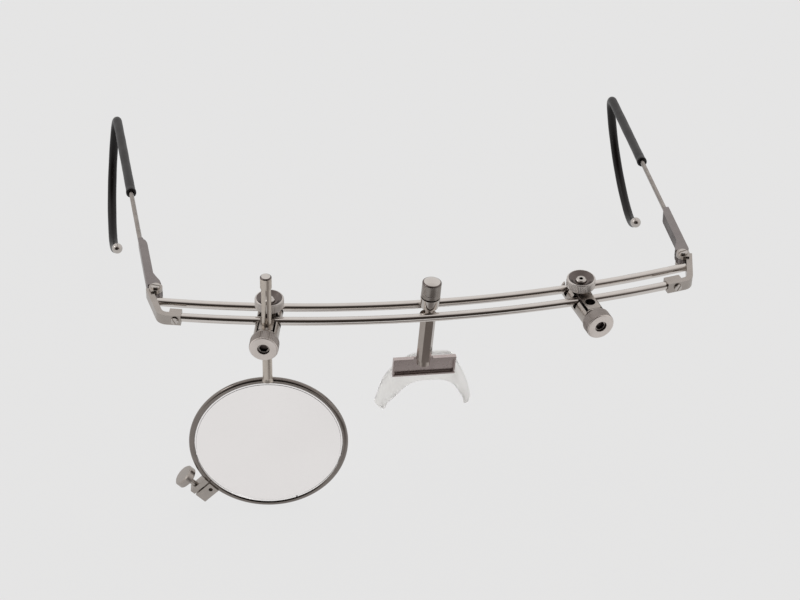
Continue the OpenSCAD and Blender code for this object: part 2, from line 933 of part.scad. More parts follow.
module nose_post() {
    foot_z = -post_drop;
    nose_frame() {
        translate([0, 0, foot_z + 1.6])
            cylinder(r = post_af / sqrt(3), h = -foot_z - 1.6 + flange_top - 0.6, $fn = 6);
        translate([0, 0, flange_top - 0.7])
            cylinder(r = flange_r, h = 0.7);
        translate([0, 0, flange_top - eps])
            cylinder(r = post_stud_r, h = nut_top - flange_top - 1.4);
        // Rounded foot
        translate([0, 0, foot_z])
            intersection() {
                cylinder(r = post_af / 2, h = 3);
                translate([0, 0, 2.2])
                    sphere(r = 3.1, $fn = 48);
            }
    }
}

plate_y = post_af / 2 + fit;
plate_t = 0.55;
lip = 0.9;
plate_shift = 0.8;

// The plate lies flat against the back of the post, a little off centre.
module plate_frame() {
    nose_frame()
        translate([plate_shift, plate_y, -plate_drop])
            children();
}

module nose_plate() {
    plate_frame() {
        translate([-plate_w / 2, 0, -plate_h / 2])
            cube([plate_w, plate_t, plate_h]);
        translate([-plate_w / 2, -lip, -plate_h / 2])
            cube([plate_w, lip + eps, plate_t]);
        // The upper lip stops short of the post on both sides
        for (side = [-1, 1])
            translate([side < 0 ? -plate_w / 2 : 2.3, -lip, plate_h / 2 - plate_t])
                cube([plate_w / 2 - (side < 0 ? 3.2 : 2.3), lip + eps, plate_t]);
        for (side = [-1, 1])
            translate([side * (plate_w / 2 - plate_t / 2) - plate_t / 2, -lip * 0.8, -plate_h / 2 + 0.3])
                cube([plate_t, lip * 0.8 + eps, plate_h - 0.6]);
    }
}

// The pad is a soft saddle between an outer and an inner arch. A ring of section points is
// carried from one leg tip over the top to the other. Towards the tips the legs flare
// outwards, sweep back, and deepen into blades that splay open behind.
pad_steps = 36;
pad_last = 89.5;
pad_sides = 14;
pad_flare = 3.2;
pad_half = pad_w / 2 - pad_flare;
pad_rise = 2.8;
pad_foot = pad_rise - pad_h;
web_h = 10.3;
leg_t = 2.8;
leg_depth = 2.9;
leg_splay = 0.36;
pad_shift = 2.9;
pad_web_t = 2.4;

function curve_x(a, n, half) = half * sign(sin(a)) * pow(abs(sin(a)), 2 / n);
function curve_z(a, n, rise) = pad_foot + rise * pow(max(cos(a), 0), 2 / n);
function pad_outer(a) = [curve_x(a, 3.4, pad_half), curve_z(a, 3.4, pad_h)];
function pad_inner(a) = [curve_x(a, 3, pad_half - leg_t), curve_z(a, 3, pad_h - web_h)];
function leg_share(a) = pow(abs(sin(a)), 3);
function pad_end(a) = 1 - 0.3 * pow(abs(sin(a)), 30);
function share_down(z) = min(max((pad_rise - z) / pad_h, 0), 1);
function pad_ring(a) =
    let (o = pad_outer(a), i = pad_inner(a), m = (o + i) / 2, h = (o - i) / 2 * pad_end(a),
         t = (pad_web_t / 2 + (leg_depth - pad_web_t / 2) * leg_share(a)) * pad_end(a),
         down = share_down(m[1]), out = sign(sin(a)) * leg_share(a),
         x = pad_shift + m[0] + out * pad_flare * down,
         y = plate_t + 0.05 + pad_web_t / 2 + pad_sweep * pow(down, 1.3))
    [for (j = [0 : pad_sides - 1])
        let (q = j * 360 / pad_sides, c = sign(cos(q)) * pow(abs(cos(q)), 0.75),
             d = sign(sin(q)) * pow(abs(sin(q)), 0.75))
        [x + h[0] * c + out * leg_splay * t * d, y + t * d, m[1] + h[1] * c]];

module tube_of_rings(rings) {
    sides = len(rings[0]);
    last = len(rings) - 1;
    faces = concat(
        [[for (j = [sides - 1 : -1 : 0]) j]],
        [for (i = [0 : last - 1], j = [0 : sides - 1])
            let (a = i * sides + j, b = i * sides + (j + 1) % sides)
            [a, b, b + sides]],
        [for (i = [0 : last - 1], j = [0 : sides - 1])
            let (a = i * sides + j, b = i * sides + (j + 1) % sides)
            [a, b + sides, a + sides]],
        [[for (j = [0 : sides - 1]) last * sides + j]]
    );
    polyhedron(points = [for (ring = rings, p = ring) p], faces = faces);
}

module nose_pad() {
    plate_frame()
        tube_of_rings([for (i = [0 : pad_steps])
            pad_ring(pad_last * (2 * i / pad_steps - 1))]);
}

color(polished) rod(rail_radius, front_half_angle, front_left_angle);  // front_rod
color(polished) rod(rear_radius, rear_half_angle, rear_left_angle);  // rear_rod
color(steel) either_side(-1) end_piece(-1);  // right_end_piece
color(steel) either_side(1) end_piece(1);  // left_end_piece
color(steel) either_side(-1) rod_screw(-1);  // right_rod_screw
color(steel) either_side(1) rod_screw(1);  // left_rod_screw
color(bright_steel) either_side(-1) hinge_screw(-1);  // right_hinge_screw
color(bright_steel) either_side(1) hinge_screw(1);  // left_hinge_screw
color(steel) either_side(-1) temple_bar(-1);  // right_temple_bar
color(steel) either_side(1) temple_bar(1);  // left_temple_bar
color(steel) either_side(-1) cable(-1);  // right_cable
color(steel) either_side(1) cable(1);  // left_cable
color(black_sleeve) either_side(-1) sleeve(-1);  // right_sleeve
color(black_sleeve) either_side(1) sleeve(1);  // left_sleeve
color(bright_steel) either_side(-1) tip_ball(-1);  // right_tip_ball
color(bright_steel) either_side(1) tip_ball(1);  // left_tip_ball
color(bright_steel) right_carriage() rail_stud();  // right_rail_stud
color(bright_steel) left_carriage() rail_stud();  // left_rail_stud
color(steel) right_carriage() carriage_body();  // right_carriage_body
color(steel) left_carriage() carriage_body();  // left_carriage_body
color(steel) right_carriage() jaw();  // right_jaw
color(steel) left_carriage() jaw();  // left_jaw
color(steel) right_carriage() rail_knob();  // right_rail_knob
color(steel) left_carriage() rail_knob();  // left_rail_knob
color(steel) right_carriage() stem_knob();  // right_stem_knob
color(steel) left_carriage() stem_knob();  // left_stem_knob
color(steel) right_carriage() stem_screw();  // right_stem_screw
color(steel) left_carriage() stem_screw();  // left_stem_screw
color(bright_steel) stem_cap();
color(steel) lens_stem();
color(steel) lens_ring();
color(steel) ring_block_upper();
color(steel) ring_block_lower();
color(steel) thumb_screw();
color(clear_glass) lens();
color(bright_steel) nose_cup();
color(steel) nose_post();
color(bright_steel) nose_nut();
color(steel) nose_plate();
color(clear_pad) nose_pad();
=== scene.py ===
"""Adjustable shooting glasses on a pale studio floor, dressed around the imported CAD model.

The metal parts are satin nickel plate and polished steel, the temple cables are laid
steel wire, the ear sleeves are black vinyl, the nose saddle is clear silicone and the
single lens is clear glass. Lengths are in millimetres until a mesh is made.
"""

import json
import math

import bmesh
import bpy
import numpy as np
from mathutils import Matrix, Vector


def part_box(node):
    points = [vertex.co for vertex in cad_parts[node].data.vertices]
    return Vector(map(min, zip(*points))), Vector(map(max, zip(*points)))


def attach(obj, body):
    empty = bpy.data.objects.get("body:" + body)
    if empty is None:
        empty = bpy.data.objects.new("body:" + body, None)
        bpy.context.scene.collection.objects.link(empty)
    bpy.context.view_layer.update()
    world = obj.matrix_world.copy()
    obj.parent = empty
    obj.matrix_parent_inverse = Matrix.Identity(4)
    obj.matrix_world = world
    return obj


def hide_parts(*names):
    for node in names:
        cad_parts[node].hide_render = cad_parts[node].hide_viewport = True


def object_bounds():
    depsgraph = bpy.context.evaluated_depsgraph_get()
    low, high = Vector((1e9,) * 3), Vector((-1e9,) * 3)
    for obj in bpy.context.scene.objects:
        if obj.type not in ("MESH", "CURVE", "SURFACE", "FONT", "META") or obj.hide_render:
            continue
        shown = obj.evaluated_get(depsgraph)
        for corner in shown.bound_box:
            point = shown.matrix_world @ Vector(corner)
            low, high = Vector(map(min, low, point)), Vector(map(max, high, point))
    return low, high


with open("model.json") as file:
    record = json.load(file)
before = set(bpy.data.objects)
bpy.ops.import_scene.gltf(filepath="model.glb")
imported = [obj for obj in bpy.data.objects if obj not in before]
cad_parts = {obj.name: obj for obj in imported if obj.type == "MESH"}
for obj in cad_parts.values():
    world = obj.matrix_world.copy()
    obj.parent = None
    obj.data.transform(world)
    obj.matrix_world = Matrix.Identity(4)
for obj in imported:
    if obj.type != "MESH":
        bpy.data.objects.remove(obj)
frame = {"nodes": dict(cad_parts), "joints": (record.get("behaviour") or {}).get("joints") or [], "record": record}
cad_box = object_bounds()
MM = 0.001
SIDES = ("right", "left")
NODES = frame["nodes"]
JOINTS = {j["name"]: j for j in frame["joints"]}
BODY_OF = {
    node: body
    for body, members in frame["record"]["behaviour"]["bodies"].items()
    for node in members
}


# Places


def shift(x, y, z):
    """A 4x4 matrix that moves by x, y and z millimetres."""
    m = np.eye(4)
    m[:3, 3] = (x, y, z)
    return m


def turn(axis, degrees):
    """A 4x4 matrix that turns about the X, Y or Z axis, as OpenSCAD's rotate does."""
    return np.array(Matrix.Rotation(math.radians(degrees), 4, axis))


def mirror_x():
    """The mirror image across the middle plane, for the right-hand temple."""
    return np.diag([-1.0, 1.0, 1.0, 1.0])


def placed(place, points):
    """Points (..., 3) carried by a 4x4 matrix."""
    return points @ place[:3, :3].T + place[:3, 3]


def anchor_of(joint):
    """Where a joint turns or slides, in millimetres."""
    return np.array(JOINTS[joint]["pos_m"]) / MM


# Meshes


def grid_mesh(name, points):
    """A surface through a grid of points (rows, columns, 3) whose columns close on themselves.

    Quads join each point to its neighbours along the row and column. Each end row is
    closed by a fan to its middle point.
    """
    rows, columns, _ = points.shape
    index = np.arange(rows * columns).reshape(rows, columns)
    near, far = index[:-1], index[1:]
    quads = np.stack(
        [near, np.roll(near, -1, axis=1), np.roll(far, -1, axis=1), far], axis=-1
    ).reshape(-1, 4)
    vertices = np.vstack([points.reshape(-1, 3), points[0].mean(axis=0), points[-1].mean(axis=0)])
    first, last = rows * columns, rows * columns + 1
    start, end = index[0], index[-1]
    faces = quads.tolist()
    faces += np.stack([np.full(columns, first), np.roll(start, -1), start], axis=-1).tolist()
    faces += np.stack([np.full(columns, last), end, np.roll(end, -1)], axis=-1).tolist()
    mesh = bpy.data.meshes.new(name)
    mesh.from_pydata((vertices * MM).tolist(), [], faces)
    mesh.update()
    return mesh


def finish_piece(name, mesh, node, material, smooth_angle=40):
    """Turns a mesh into a piece that stands for a CAD node and rides on that node's body."""
    work = bmesh.new()
    work.from_mesh(mesh)
    bmesh.ops.remove_doubles(work, verts=work.verts, dist=1e-7)
    bmesh.ops.recalc_face_normals(work, faces=work.faces)
    work.to_mesh(mesh)
    work.free()
    piece = bpy.data.objects.new(name, mesh)
    bpy.context.scene.collection.objects.link(piece)
    mesh.shade_smooth()
    mesh.set_sharp_from_angle(angle=math.radians(smooth_angle))
    mesh.materials.append(material)
    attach(piece, BODY_OF[node])
    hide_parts(node)
    return piece


def paint(piece, material, chosen):
    """Gives one more material to the faces for which chosen(face) is true."""
    piece.data.materials.append(material)
    for face in piece.data.polygons:
        if chosen(face):
            face.material_index = len(piece.data.materials) - 1


def paint_inside(piece, place, reach, low, high, material):
    """Paints the faces whose middles lie inside a local cylinder.

    The cylinder stands on the local Z axis with that reach, between two heights.
    """
    inverse = np.linalg.inv(place)

    def inside(face):
        x, y, z = placed(inverse, np.array(face.center) / MM)
        return math.hypot(x, y) < reach and low < z < high

    paint(piece, material, inside)


def paint_box(piece, place, low, high, material):
    """Paints the faces whose middles lie inside a local box."""
    inverse = np.linalg.inv(place)

    def inside(face):
        middle = placed(inverse, np.array(face.center) / MM)
        return np.all(middle > low) and np.all(middle < high)

    paint(piece, material, inside)


def paint_facing(piece, way, within, material):
    """Paints the faces that look one way, within that many degrees."""
    least = math.cos(math.radians(within))
    paint(piece, material, lambda face: face.normal.dot(Vector(way)) > least)


def joined(name, meshes):
    """One mesh that holds the closed shells of several."""
    work = bmesh.new()
    for mesh in meshes:
        work.from_mesh(mesh)
    whole = bpy.data.meshes.new(name)
    work.to_mesh(whole)
    work.free()
    return whole


KNURL_BAND = 0.45
# The radius at which a turned profile starts and ends, just off its axis.
AXIS_R = 0.003


def revolved(name, profile, place, sides=96, knurl=None):
    """A turned solid: the profile's (radius, height) points carried round the local Z axis.

    knurl is (teeth, depth, low, high): between those heights, and only close to the
    widest radius, a triangle wave of that depth is taken off the radius.
    """
    profile = np.array(profile, float)
    angle = np.linspace(0, 2 * np.pi, sides, endpoint=False)
    radius = np.repeat(profile[:, :1], sides, axis=1)
    height = np.repeat(profile[:, 1:], sides, axis=1)
    if knurl:
        teeth, depth, low, high = knurl
        wave = np.abs((angle * teeth / (2 * np.pi)) % 1 - 0.5) * 2
        inside = (height >= low) & (height <= high) & (radius > radius.max() - KNURL_BAND)
        radius = radius - inside * depth * wave[None, :]
    points = np.stack([radius * np.cos(angle), radius * np.sin(angle), height], axis=-1)
    return grid_mesh(name, placed(place, points))


def rounded(corners, radius=0.15, steps=4):
    """A profile whose inner corners are eased: each becomes a short quadratic curve.

    The curve starts and ends at the radius from the corner, or at under half of a shorter leg.
    """
    most = 0.45
    corners = np.array(corners, float)
    out = [corners[0]]
    for before, corner, after in zip(corners[:-2], corners[1:-1], corners[2:]):
        back, ahead = before - corner, after - corner
        reach = min(radius, most * np.linalg.norm(back), most * np.linalg.norm(ahead))
        start = corner + back / np.linalg.norm(back) * reach
        end = corner + ahead / np.linalg.norm(ahead) * reach
        t = np.linspace(0, 1, steps + 1)[:, None]
        out.extend((1 - t) ** 2 * start + 2 * t * (1 - t) * corner + t**2 * end)
    out.append(corners[-1])
    return np.array(out)


def eased_copy(node, material, width):
    """A merged copy of a CAD node with its edges broken by a small bevel, standing for it."""
    source = NODES[node]
    mesh = source.data.copy()
    mesh.name = node + "_eased"
    work = bmesh.new()
    work.from_mesh(mesh)
    bmesh.ops.remove_doubles(work, verts=work.verts, dist=2e-6)
    bmesh.ops.dissolve_degenerate(work, edges=work.edges, dist=1e-6)
    bmesh.ops.dissolve_limit(
        work, angle_limit=math.radians(1), verts=work.verts, edges=work.edges
    )
    work.to_mesh(mesh)
    work.free()
    # The import's own corner normals no longer fit the merged faces.
    for stale in ("custom_normal", "sharp_edge", "sharp_face"):
        if stale in mesh.attributes:
            mesh.attributes.remove(mesh.attributes[stale])
    mesh.materials.clear()
    mesh.materials.append(material)
    piece = bpy.data.objects.new(node + "_eased", mesh)
    bpy.context.scene.collection.objects.link(piece)
    mesh.shade_smooth()
    bevel = piece.modifiers.new("eased edges", "BEVEL")
    bevel.width = width * MM
    bevel.segments = 2
    bevel.limit_method = "ANGLE"
    bevel.angle_limit = math.radians(32)
    bevel.harden_normals = True
    bevel.use_clamp_overlap = True
    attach(piece, BODY_OF[node])
    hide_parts(node)
    return piece


# Materials


def colour(code):
    """An sRGB hex code as linear RGBA."""
    value = np.array([int(code[i : i + 2], 16) / 255 for i in (1, 3, 5)])
    linear = np.where(value <= 0.04045, value / 12.92, ((value + 0.055) / 1.055) ** 2.4)
    return (*linear.tolist(), 1.0)


def new_material(name):
    """A node material with its Principled shader, and its node tree."""
    material = bpy.data.materials.new(name)
    material.use_nodes = True
    return material, material.node_tree, material.node_tree.nodes["Principled BSDF"]


def add(tree, kind, inputs=None, **settings):
    """A node with its settings and inputs; an input that is a socket is linked."""
    node = tree.nodes.new(kind)
    for key, value in settings.items():
        setattr(node, key, value)
    for key, value in (inputs or {}).items():
        if isinstance(value, bpy.types.NodeSocket):
            tree.links.new(value, node.inputs[key])
        else:
            node.inputs[key].default_value = value
    return node


def cloudy_pattern(tree, period, detail=3.0, stretch=(1, 1, 1)):
    """A cloudy pattern on Object coordinates, with patches one period wide, in millimetres."""
    place = add(tree, "ShaderNodeTexCoord").outputs["Object"]
    scale = tuple(s / (period * MM) for s in stretch)
    place = add(tree, "ShaderNodeMapping", {"Vector": place, "Scale": scale}).outputs["Vector"]
    inputs = {"Vector": place, "Scale": 1.0, "Detail": detail}
    return add(tree, "ShaderNodeTexNoise", inputs).outputs["Fac"]


def mottled(tree, shader, pattern, light, dark, smooth, rough, full=0.7):
    """A mottled surface: the base colour and the roughness drift together over a pattern.

    The colour goes from light to dark as the pattern goes from 0 to 1, and the roughness
    from smooth to rough as it goes from 0.3 to full.
    """
    tint = add(
        tree,
        "ShaderNodeMix",
        {"Factor": pattern, 6: colour(light), 7: colour(dark)},
        data_type="RGBA",
    ).outputs[2]
    tree.links.new(tint, shader.inputs["Base Color"])
    ends = {"From Min": 0.3, "From Max": full, "To Min": smooth, "To Max": rough}
    soft = add(tree, "ShaderNodeMapRange", {"Value": pattern, **ends}).outputs["Result"]
    tree.links.new(soft, shader.inputs["Roughness"])


CLOUD_WIDTH = 3
GRAIN_DEPTH = 0.02 * MM


def metal(name, light, dark, rough, spread, grain, stretch=(1, 1, 1), bump=0.1):
    """A plated or polished metal.

    Cloudy handling marks about 3 mm wide blend the light and dark colours and shift the
    roughness by the spread. A fine grain, at its real period, gives the bump.
    """
    material, tree, shader = new_material(name)
    clouds = cloudy_pattern(tree, CLOUD_WIDTH, 4.0)
    mottled(tree, shader, clouds, light, dark, rough - spread, rough + spread)
    shader.inputs["Metallic"].default_value = 1.0
    grains = cloudy_pattern(tree, grain, 2.0, stretch)
    inputs = {"Height": grains, "Strength": bump, "Distance": GRAIN_DEPTH}
    relief = add(tree, "ShaderNodeBump", inputs).outputs["Normal"]
    tree.links.new(relief, shader.inputs["Normal"])
    return material


# Satin nickel over turned and milled brass: soft grey, slightly warm, with blurred light.
satin_nickel = metal("satin_nickel_plate", "#b9b2ac", "#aaa39d", 0.25, 0.03, 0.1)
# Drawn and buffed nickel silver rod: bright, with fine lines along its length.
polished_rod = metal(
    "buffed_nickel_silver_rod", "#e4dfda", "#d8d2cd", 0.1, 0.02, 0.08, (0.06, 1, 1), bump=0.06
)
# Bright nickel on small turned parts: clear reflections and little grain.
bright_nickel = metal("bright_nickel_turned", "#cdc8c3", "#c0bab5", 0.1, 0.02, 0.15, bump=0.04)
# Knurled front knobs and their screws in satin nickel: darker, painted shade on the teeth and sides.
knob_painted_shade = metal("knob_knurl_painted_shade", "#a19a95", "#8a827e", 0.3, 0.04, 0.08)
# The rims of the top knobs, rubbed bright by fingers.
# The top knobs' rims and sides: painted light, lighter than the front knobs.
top_knob_painted_light = metal("top_knob_metal_painted_light", "#ddd8d4", "#ccc6c1", 0.42, 0.04, 0.08)
# Rolled bar for the temples, polished less than the rest: darker, with lines along it.
temple_bar_nickel = metal(
    "rolled_temple_bar", "#8f8886", "#807978", 0.24, 0.04, 0.08, (1, 0.05, 1), bump=0.12
)
# The side of the nose clamp's turned cap nut: worn plate, a little brown, speckled.
worn_nickel = metal("worn_nickel_turned", "#a39d98", "#8f8984", 0.27, 0.06, 0.25, bump=0.2)
# The dome of the cap nut and the face of the stem cap: a painted highlight, nearly white.
dome_painted_highlight = metal("dome_metal_painted_highlight", "#dcd7d2", "#cfc9c4", 0.1, 0.02, 0.15, bump=0.04)
# The lens stem and its turned cap: satin and slightly warm.
cap_nickel = metal("satin_turned_cap", "#d6cdc3", "#c8bfb5", 0.3, 0.04, 0.12)
# The lens ring's drawn wire: darker than the rest, where lenses are pushed in and out.
ring_nickel = metal("drawn_ring_wire", "#918a85", "#827b76", 0.18, 0.04, 0.1)
# Turned dishes of the top knobs, and the rims of the stem cap and the cap nut: painted
# shade, greyer than what is polished.
dish_painted_shade = metal("knob_dish_painted_shade", "#7b7370", "#645b58", 0.24, 0.06, 0.08)
# Faces of the front knobs, lathe-faced brass under nickel: painted light, bright and a little milky.
knob_face_painted_light = metal("lathe_face_painted_light", "#ece4df", "#ddd5cf", 0.4, 0.04, 0.1)
# Painted shade in recesses, channels and on the temples' inner faces: brown-grey and dull.
recess_painted_shade = metal("painted_shade_in_recesses", "#5d5350", "#4a4240", 0.42, 0.06, 0.12)
# Drawn hexagon bar in darker nickel: flat faces that mirror the room in stripes.
hexagon_bar = metal("drawn_hexagon_bar", "#b8afa8", "#a79e97", 0.16, 0.03, 0.08, (1, 1, 0.05))
# Laid stainless steel wire: bright, with smears of grease.
laid_wire = metal("laid_stainless_wire", "#b5afaa", "#8b847e", 0.24, 0.05, 0.2)
# Pressed and brushed nickel silver sheet: fine lines from side to side.
brushed_sheet = metal(
    "brushed_nickel_silver_sheet", "#cec3c1", "#b9adaa", 0.27, 0.05, 0.07, (0.04, 1, 1), bump=0.3
)


def vinyl():
    """Dip-moulded black vinyl: a faint orange-peel skin and a soft warm sheen."""
    material, tree, shader = new_material("moulded_black_vinyl")
    mottled(tree, shader, cloudy_pattern(tree, 6), "#0e0a0a", "#161111", 0.34, 0.46)
    skin = cloudy_pattern(tree, 0.35)
    inputs = {"Height": skin, "Strength": 0.25, "Distance": 0.03 * MM}
    relief = add(tree, "ShaderNodeBump", inputs).outputs["Normal"]
    tree.links.new(relief, shader.inputs["Normal"])
    shader.inputs["IOR"].default_value = 1.53
    shader.inputs["Specular IOR Level"].default_value = 0.3
    return material


def silicone():
    """Cast clear silicone: slightly milky, with a soft moulded skin and small flow marks."""
    material, tree, shader = new_material("cast_clear_silicone")
    flow = cloudy_pattern(tree, 5, stretch=(1, 1, 0.5))
    mottled(tree, shader, flow, "#fdfcfa", "#f8f6f3", 0.26, 0.36)
    inputs = {"Height": flow, "Strength": 0.1, "Distance": 0.05 * MM}
    relief = add(tree, "ShaderNodeBump", inputs).outputs["Normal"]
    tree.links.new(relief, shader.inputs["Normal"])
    shader.inputs["Transmission Weight"].default_value = 0.93
    shader.inputs["IOR"].default_value = 1.41
    return material


def lens_glass():
    """Ground and polished clear glass with faint wiping marks."""
    material, tree, shader = new_material("polished_clear_glass")
    wiping = cloudy_pattern(tree, 14)
    mottled(tree, shader, wiping, "#faf7f6", "#f7f4f3", 0.0, 0.02, full=0.8)
    shader.inputs["Transmission Weight"].default_value = 1.0
    shader.inputs["IOR"].default_value = 1.52
    return material


black_vinyl = vinyl()
clear_silicone = silicone()
clear_glass = lens_glass()

# Temples. These values repeat part.scad's.

CABLE_X = 1.6
BAR_RISE = 0.3
BAR_LEN = 31
HOOK_START = 117.5
HOOK_LEAN = 7.7
HOOK_BENDS = ((6.5, 76.7), (26.6, 82.8), (13, 48.3))
HOOK_TAIL = 4.4
SLEEVE_R = 1.45
SLEEVE_FIT = 0.07
LIP_STAND = 0.1
CABLE_R = 0.7
BALL_R = 1.7
BALL_CENTRE = 1.1
COLLAR_STEP = 0.12
TEMPLES = {
    "right": {"slope": 8.9, "flare": 3.0, "mouth": 64.2},
    "left": {"slope": 10.2, "flare": 2.3, "mouth": 67.8},
}


def hook_place(side):
    """The frame at the start of the ear hook, whose YZ plane holds the whole route."""
    temple = TEMPLES[side]
    x, y, _ = anchor_of(side + "_temple_fold")
    flip = mirror_x() if side == "right" else np.eye(4)
    hinge = shift(abs(x), y, BAR_RISE)
    lean = turn("Z", -temple["flare"]) @ turn("X", -temple["slope"])
    return flip @ hinge @ lean @ shift(CABLE_X, HOOK_START, 0) @ turn("Y", -HOOK_LEAN)


def hook_route(stations):
    """Points along the temple's middle line, as (distance along, y, z, angle below level).

    The distance is measured from the hook's start, below zero on the straight run. Each
    bend is an arc that turns downwards, and the tail runs straight on from the last one.
    """
    y, z, angle = stations.copy(), np.zeros_like(stations), np.zeros_like(stations)
    start, at_y, at_z, heading = 0.0, 0.0, 0.0, 0.0
    for radius, degrees in HOOK_BENDS:
        sweep = math.radians(degrees)
        past = stations > start
        part = np.clip((stations - start) / radius, 0, sweep)
        arc_y = at_y + radius * (np.sin(heading + part) - math.sin(heading))
        arc_z = at_z + radius * (np.cos(heading + part) - math.cos(heading))
        beyond = np.maximum(stations - start - radius * sweep, 0)
        end = heading + sweep
        y = np.where(past, arc_y + beyond * math.cos(end), y)
        z = np.where(past, arc_z - beyond * math.sin(end), z)
        angle = np.where(past, heading + part, angle)
        at_y += radius * (math.sin(end) - math.sin(heading))
        at_z += radius * (math.cos(end) - math.cos(heading))
        start += radius * sweep
        heading = end
    return y, z, angle


BENDS_LEN = sum(radius * math.radians(degrees) for radius, degrees in HOOK_BENDS)


def route_tube(name, place, stations, radii, sides=32):
    """A round tube along the temple's route with its own radius at every station.

    Each ring lies across the route: the local X axis by the lift away from the bend.
    """
    y, z, angle = hook_route(stations)
    round_ = np.linspace(0, 2 * np.pi, sides, endpoint=False)
    across = radii[:, None] * np.cos(round_)
    lift = radii[:, None] * np.sin(round_)
    points = np.stack(
        [
            across,
            y[:, None] + lift * np.sin(angle)[:, None],
            z[:, None] + lift * np.cos(angle)[:, None],
        ],
        axis=-1,
    )
    return grid_mesh(name, placed(place, points))


WIRES = 6
WIRE_LAY = 5.2
WIRE_R = CABLE_R * 0.31
WIND_R = CABLE_R - WIRE_R
STEPS_PER_LAY = 28
CORE_SHARE = 0.92
BAR_GAP = 0.03
IN_BAR = 2.3
IN_SLEEVE = 2.8
IN_BALL = 0.9


def wire_strand(name, place, start, end, phase, sides=10):
    """One wire of the cable: a round section carried along a helix about the straight run."""
    rate = 2 * np.pi / WIRE_LAY
    along = np.arange(start, end, WIRE_LAY / STEPS_PER_LAY)
    twist = rate * along + phase
    centre = np.stack([WIND_R * np.cos(twist), along, WIND_R * np.sin(twist)], axis=-1)
    outward = np.stack([np.cos(twist), np.zeros_like(twist), np.sin(twist)], axis=-1)
    ahead = np.stack(
        [-WIND_R * rate * np.sin(twist), np.ones_like(twist), WIND_R * rate * np.cos(twist)],
        axis=-1,
    )
    ahead /= np.linalg.norm(ahead, axis=1, keepdims=True)
    beside = np.cross(ahead, outward)
    round_ = np.linspace(0, 2 * np.pi, sides, endpoint=False)
    points = (
        centre[:, None, :]
        + WIRE_R * np.cos(round_)[None, :, None] * outward[:, None, :]
        + WIRE_R * np.sin(round_)[None, :, None] * beside[:, None, :]
    )
    return grid_mesh(name, placed(place, points))


def temple_cable(side):
    """The laid cable between the bar and the sleeve, and its core down to the tip ball.

    Six wires wind round a core, so that their crowns reach the cable's real radius.
    """
    place = hook_place(side)
    start = BAR_LEN + BAR_GAP - HOOK_START
    end = TEMPLES[side]["mouth"] + IN_SLEEVE - HOOK_START
    strands = [
        wire_strand(f"{side}_wire_{i}", place, start, end, 2 * np.pi * i / WIRES)
        for i in range(WIRES)
    ]
    straight = np.linspace(BAR_LEN - IN_BAR - HOOK_START, 0, 40)
    hook = np.linspace(0.5, BENDS_LEN + HOOK_TAIL + IN_BALL, 110)
    stations = np.concatenate([straight, hook])
    radii = np.full(stations.shape, WIND_R * CORE_SHARE)
    core = route_tube(f"{side}_core", place, stations, radii, sides=16)
    return joined(f"{side}_cable_mesh", [*strands, core])


def ear_sleeve(side):
    """A black vinyl tube: in through its bore, round the lip, and out along the hook.

    Its radius follows two sines, since dipped skin swells and thins by a few hundredths.
    """
    mouth = TEMPLES[side]["mouth"] - HOOK_START
    end = BENDS_LEN + HOOK_TAIL
    bore = CABLE_R + SLEEVE_FIT
    lip = SLEEVE_R + LIP_STAND
    mouth_part = [
        (mouth + 3.0, 0.02),
        (mouth + 3.0, bore),
        (mouth + 0.5, bore),
        (mouth + 0.15, bore + 0.03),
        (mouth + 0.02, bore + 0.14),
        (mouth, bore + 0.28),
        (mouth + 0.02, lip - 0.16),
        (mouth + 0.12, lip - 0.04),
        (mouth + 0.3, lip),
        (mouth + 1.3, lip),
        (mouth + 1.7, SLEEVE_R + 0.03),
        (mouth + 2.1, SLEEVE_R),
    ]
    run = np.concatenate([np.linspace(mouth + 3, -1, 60), np.arange(-0.5, end - 0.3, 0.5)])
    tip = [(end - 0.2, SLEEVE_R), (end - 0.08, SLEEVE_R - 0.06), (end, SLEEVE_R - 0.18)]
    ripple = 0.018 * np.sin(run * 0.23) - 0.012 * np.sin(run * 0.61 + 1)
    skin = np.stack([run, SLEEVE_R - 0.03 + ripple], axis=-1)
    stations, radii = np.vstack([mouth_part, skin, tip]).T
    return route_tube(f"{side}_sleeve_mesh", hook_place(side), stations, radii, sides=40)


def hook_tip(side):
    """The frame at the sleeve's end, with Z pointing out along the run."""
    y, z, angle = hook_route(np.array([BENDS_LEN + HOOK_TAIL]))
    down = math.degrees(angle[0])
    return hook_place(side) @ shift(0, y[0], z[0]) @ turn("X", -down) @ turn("X", -90)


def tip_ball(side):
    """A polished ball on a short collar, closed over the cable's end.

    Its profile is a circle's arc, from where the circle leaves the collar to its far pole.
    """
    collar = SLEEVE_R - COLLAR_STEP
    start = math.asin(collar / BALL_R)
    arc = np.linspace(math.pi - start, 0.0, 34)
    ball = np.stack([BALL_R * np.sin(arc), BALL_CENTRE + BALL_R * np.cos(arc)], axis=-1)
    ball[-1, 0] = AXIS_R
    foot = [(AXIS_R, 0.03), (collar - 0.1, 0.03), (collar, 0.1)]
    profile = np.vstack([foot, ball[ball[:, 1] > COLLAR_STEP]])
    return revolved(f"{side}_ball_mesh", profile, hook_tip(side), sides=64)


for side in SIDES:
    for name, mesh, node, slot, material in (
        ("laid_cable", temple_cable(side), "cable", "wound_wire", laid_wire),
        ("ear_sleeve", ear_sleeve(side), "sleeve", "black_sleeve", black_vinyl),
        ("ball_end", tip_ball(side), "tip_ball", "bright_steel", bright_nickel),
    ):
        finish_piece(f"{side}_{name}", mesh, f"{side}_{node}", material)

# Rail

ROD_R = 1.2
ROD_GAP = 6.15
FRONT_RADIUS = 326
MID_RADIUS = FRONT_RADIUS - ROD_GAP / 2
ROD_EASE = 0.2
END_SINE = 0.2


